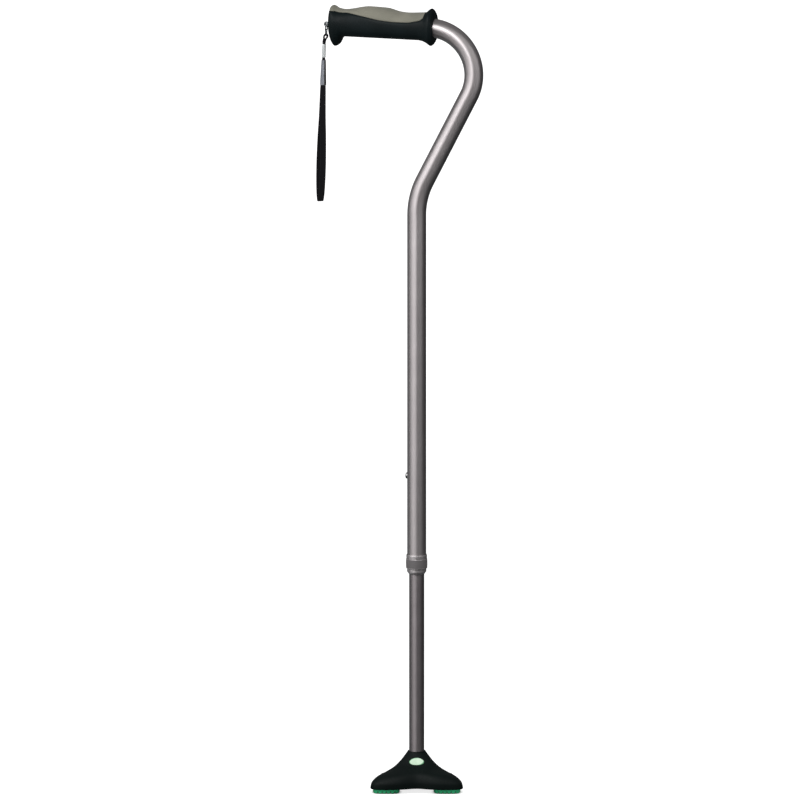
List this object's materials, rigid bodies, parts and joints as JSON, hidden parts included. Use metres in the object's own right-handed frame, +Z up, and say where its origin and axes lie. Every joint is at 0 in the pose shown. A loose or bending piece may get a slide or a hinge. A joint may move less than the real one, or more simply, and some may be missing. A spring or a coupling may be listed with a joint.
{
  "type": "offset quad cane",
  "caption": "Walking cane with an offset handle, padded grip, wrist strap, push-button height setting, locking collar and a small four-footed base that stands by itself.",
  "frame": {"origin": "on the floor, at the axis of the straight tubes, between the four treads", "axes": "+Z up along the straight tubes; the free end of the handle points to -X and the bend to +X; the foot faces the -Y side, turned 18 degrees about +Z"},
  "size_m": [0.2085, 0.1062, 0.9374],
  "materials": {
    "tube_metal": "satin smoke-grey anodised",
    "inner_plastic": "plain moulded",
    "grip_rubber": "semi-matte black",
    "pad_cushion": "soft matte warm grey",
    "link_steel": "dark gunmetal",
    "strap_steel": "bright nickel",
    "collar_plastic": "matte grey",
    "spring_steel": "plain spring steel",
    "button_chrome": "polished",
    "strap_cord_black": "braided",
    "reflective_grey": "retroreflective tape",
    "webbing_black": "woven",
    "black_rubber": "semi-matte black",
    "badge_pale_green": "glossy, bare",
    "tread_green": "matte green"
  },
  "bodies": {
    "base": {"lower_tube": "tube_metal", "guide_plug": "inner_plastic", "snap_spring": "spring_steel", "foot_shell": "black_rubber", "foot_badge": "badge_pale_green", "socket_washer": "spring_steel", "tread_pad_front_left": "tread_green", "tread_pad_front_right": "tread_green", "tread_pad_back_left": "tread_green", "tread_pad_back_right": "tread_green"},
    "upper": {"upper_tube": "tube_metal", "tube_end_plug": "inner_plastic", "grip_body": "grip_rubber", "grip_pad": "pad_cushion", "strap_eye": "link_steel", "collar_sleeve": "collar_plastic"},
    "button": {"snap_button": "button_chrome"},
    "ring": {"squeeze_ring": "inner_plastic"},
    "nut": {"collar_nut": "collar_plastic"},
    "strap_link": {"chain_link_upper": "link_steel"},
    "strap": {"chain_link_lower": "link_steel", "strap_cord": "strap_cord_black", "strap_ferrule": "strap_steel", "reflective_tape": "reflective_grey", "wrist_strap": "webbing_black"}
  },
  "joints": [
    {"name": "height_slide", "type": "slide", "parent": "base", "child": "upper", "axis": [0, 0, 1], "range_m": [-0.127, 0.0254]},
    {"name": "button_press", "type": "slide", "parent": "base", "child": "button", "axis": [1, 0, 0], "range_m": [0, 0.0043], "stiffness_N_per_m": 1500, "springref_m": -0.002, "deforming": ["snap_spring"]},
    {"name": "collar_travel", "type": "slide", "parent": "upper", "child": "ring", "axis": [0, 0, -1], "range_m": [0, 0.002]},
    {"name": "collar_turn", "type": "hinge", "parent": "ring", "child": "nut", "pos_m": [0, 0, 0.2668], "axis": [0, 0, -1], "range_deg": [0, 360]},
    {"name": "strap_sway", "type": "hinge", "parent": "upper", "child": "strap_link", "pos_m": [-0.1124, 0, 0.9099], "axis": [1, 0, 0], "range_deg": [-50, 50]},
    {"name": "strap_swing", "type": "hinge", "parent": "strap_link", "child": "strap", "pos_m": [-0.1126, 0, 0.9043], "axis": [0.4066, 0.9135, -0.0103], "range_deg": [-5, 75]}
  ],
  "couplings": [
    {"joint": "collar_turn", "follows": "collar_travel", "rad_per_m": 3141.6}
  ]
}
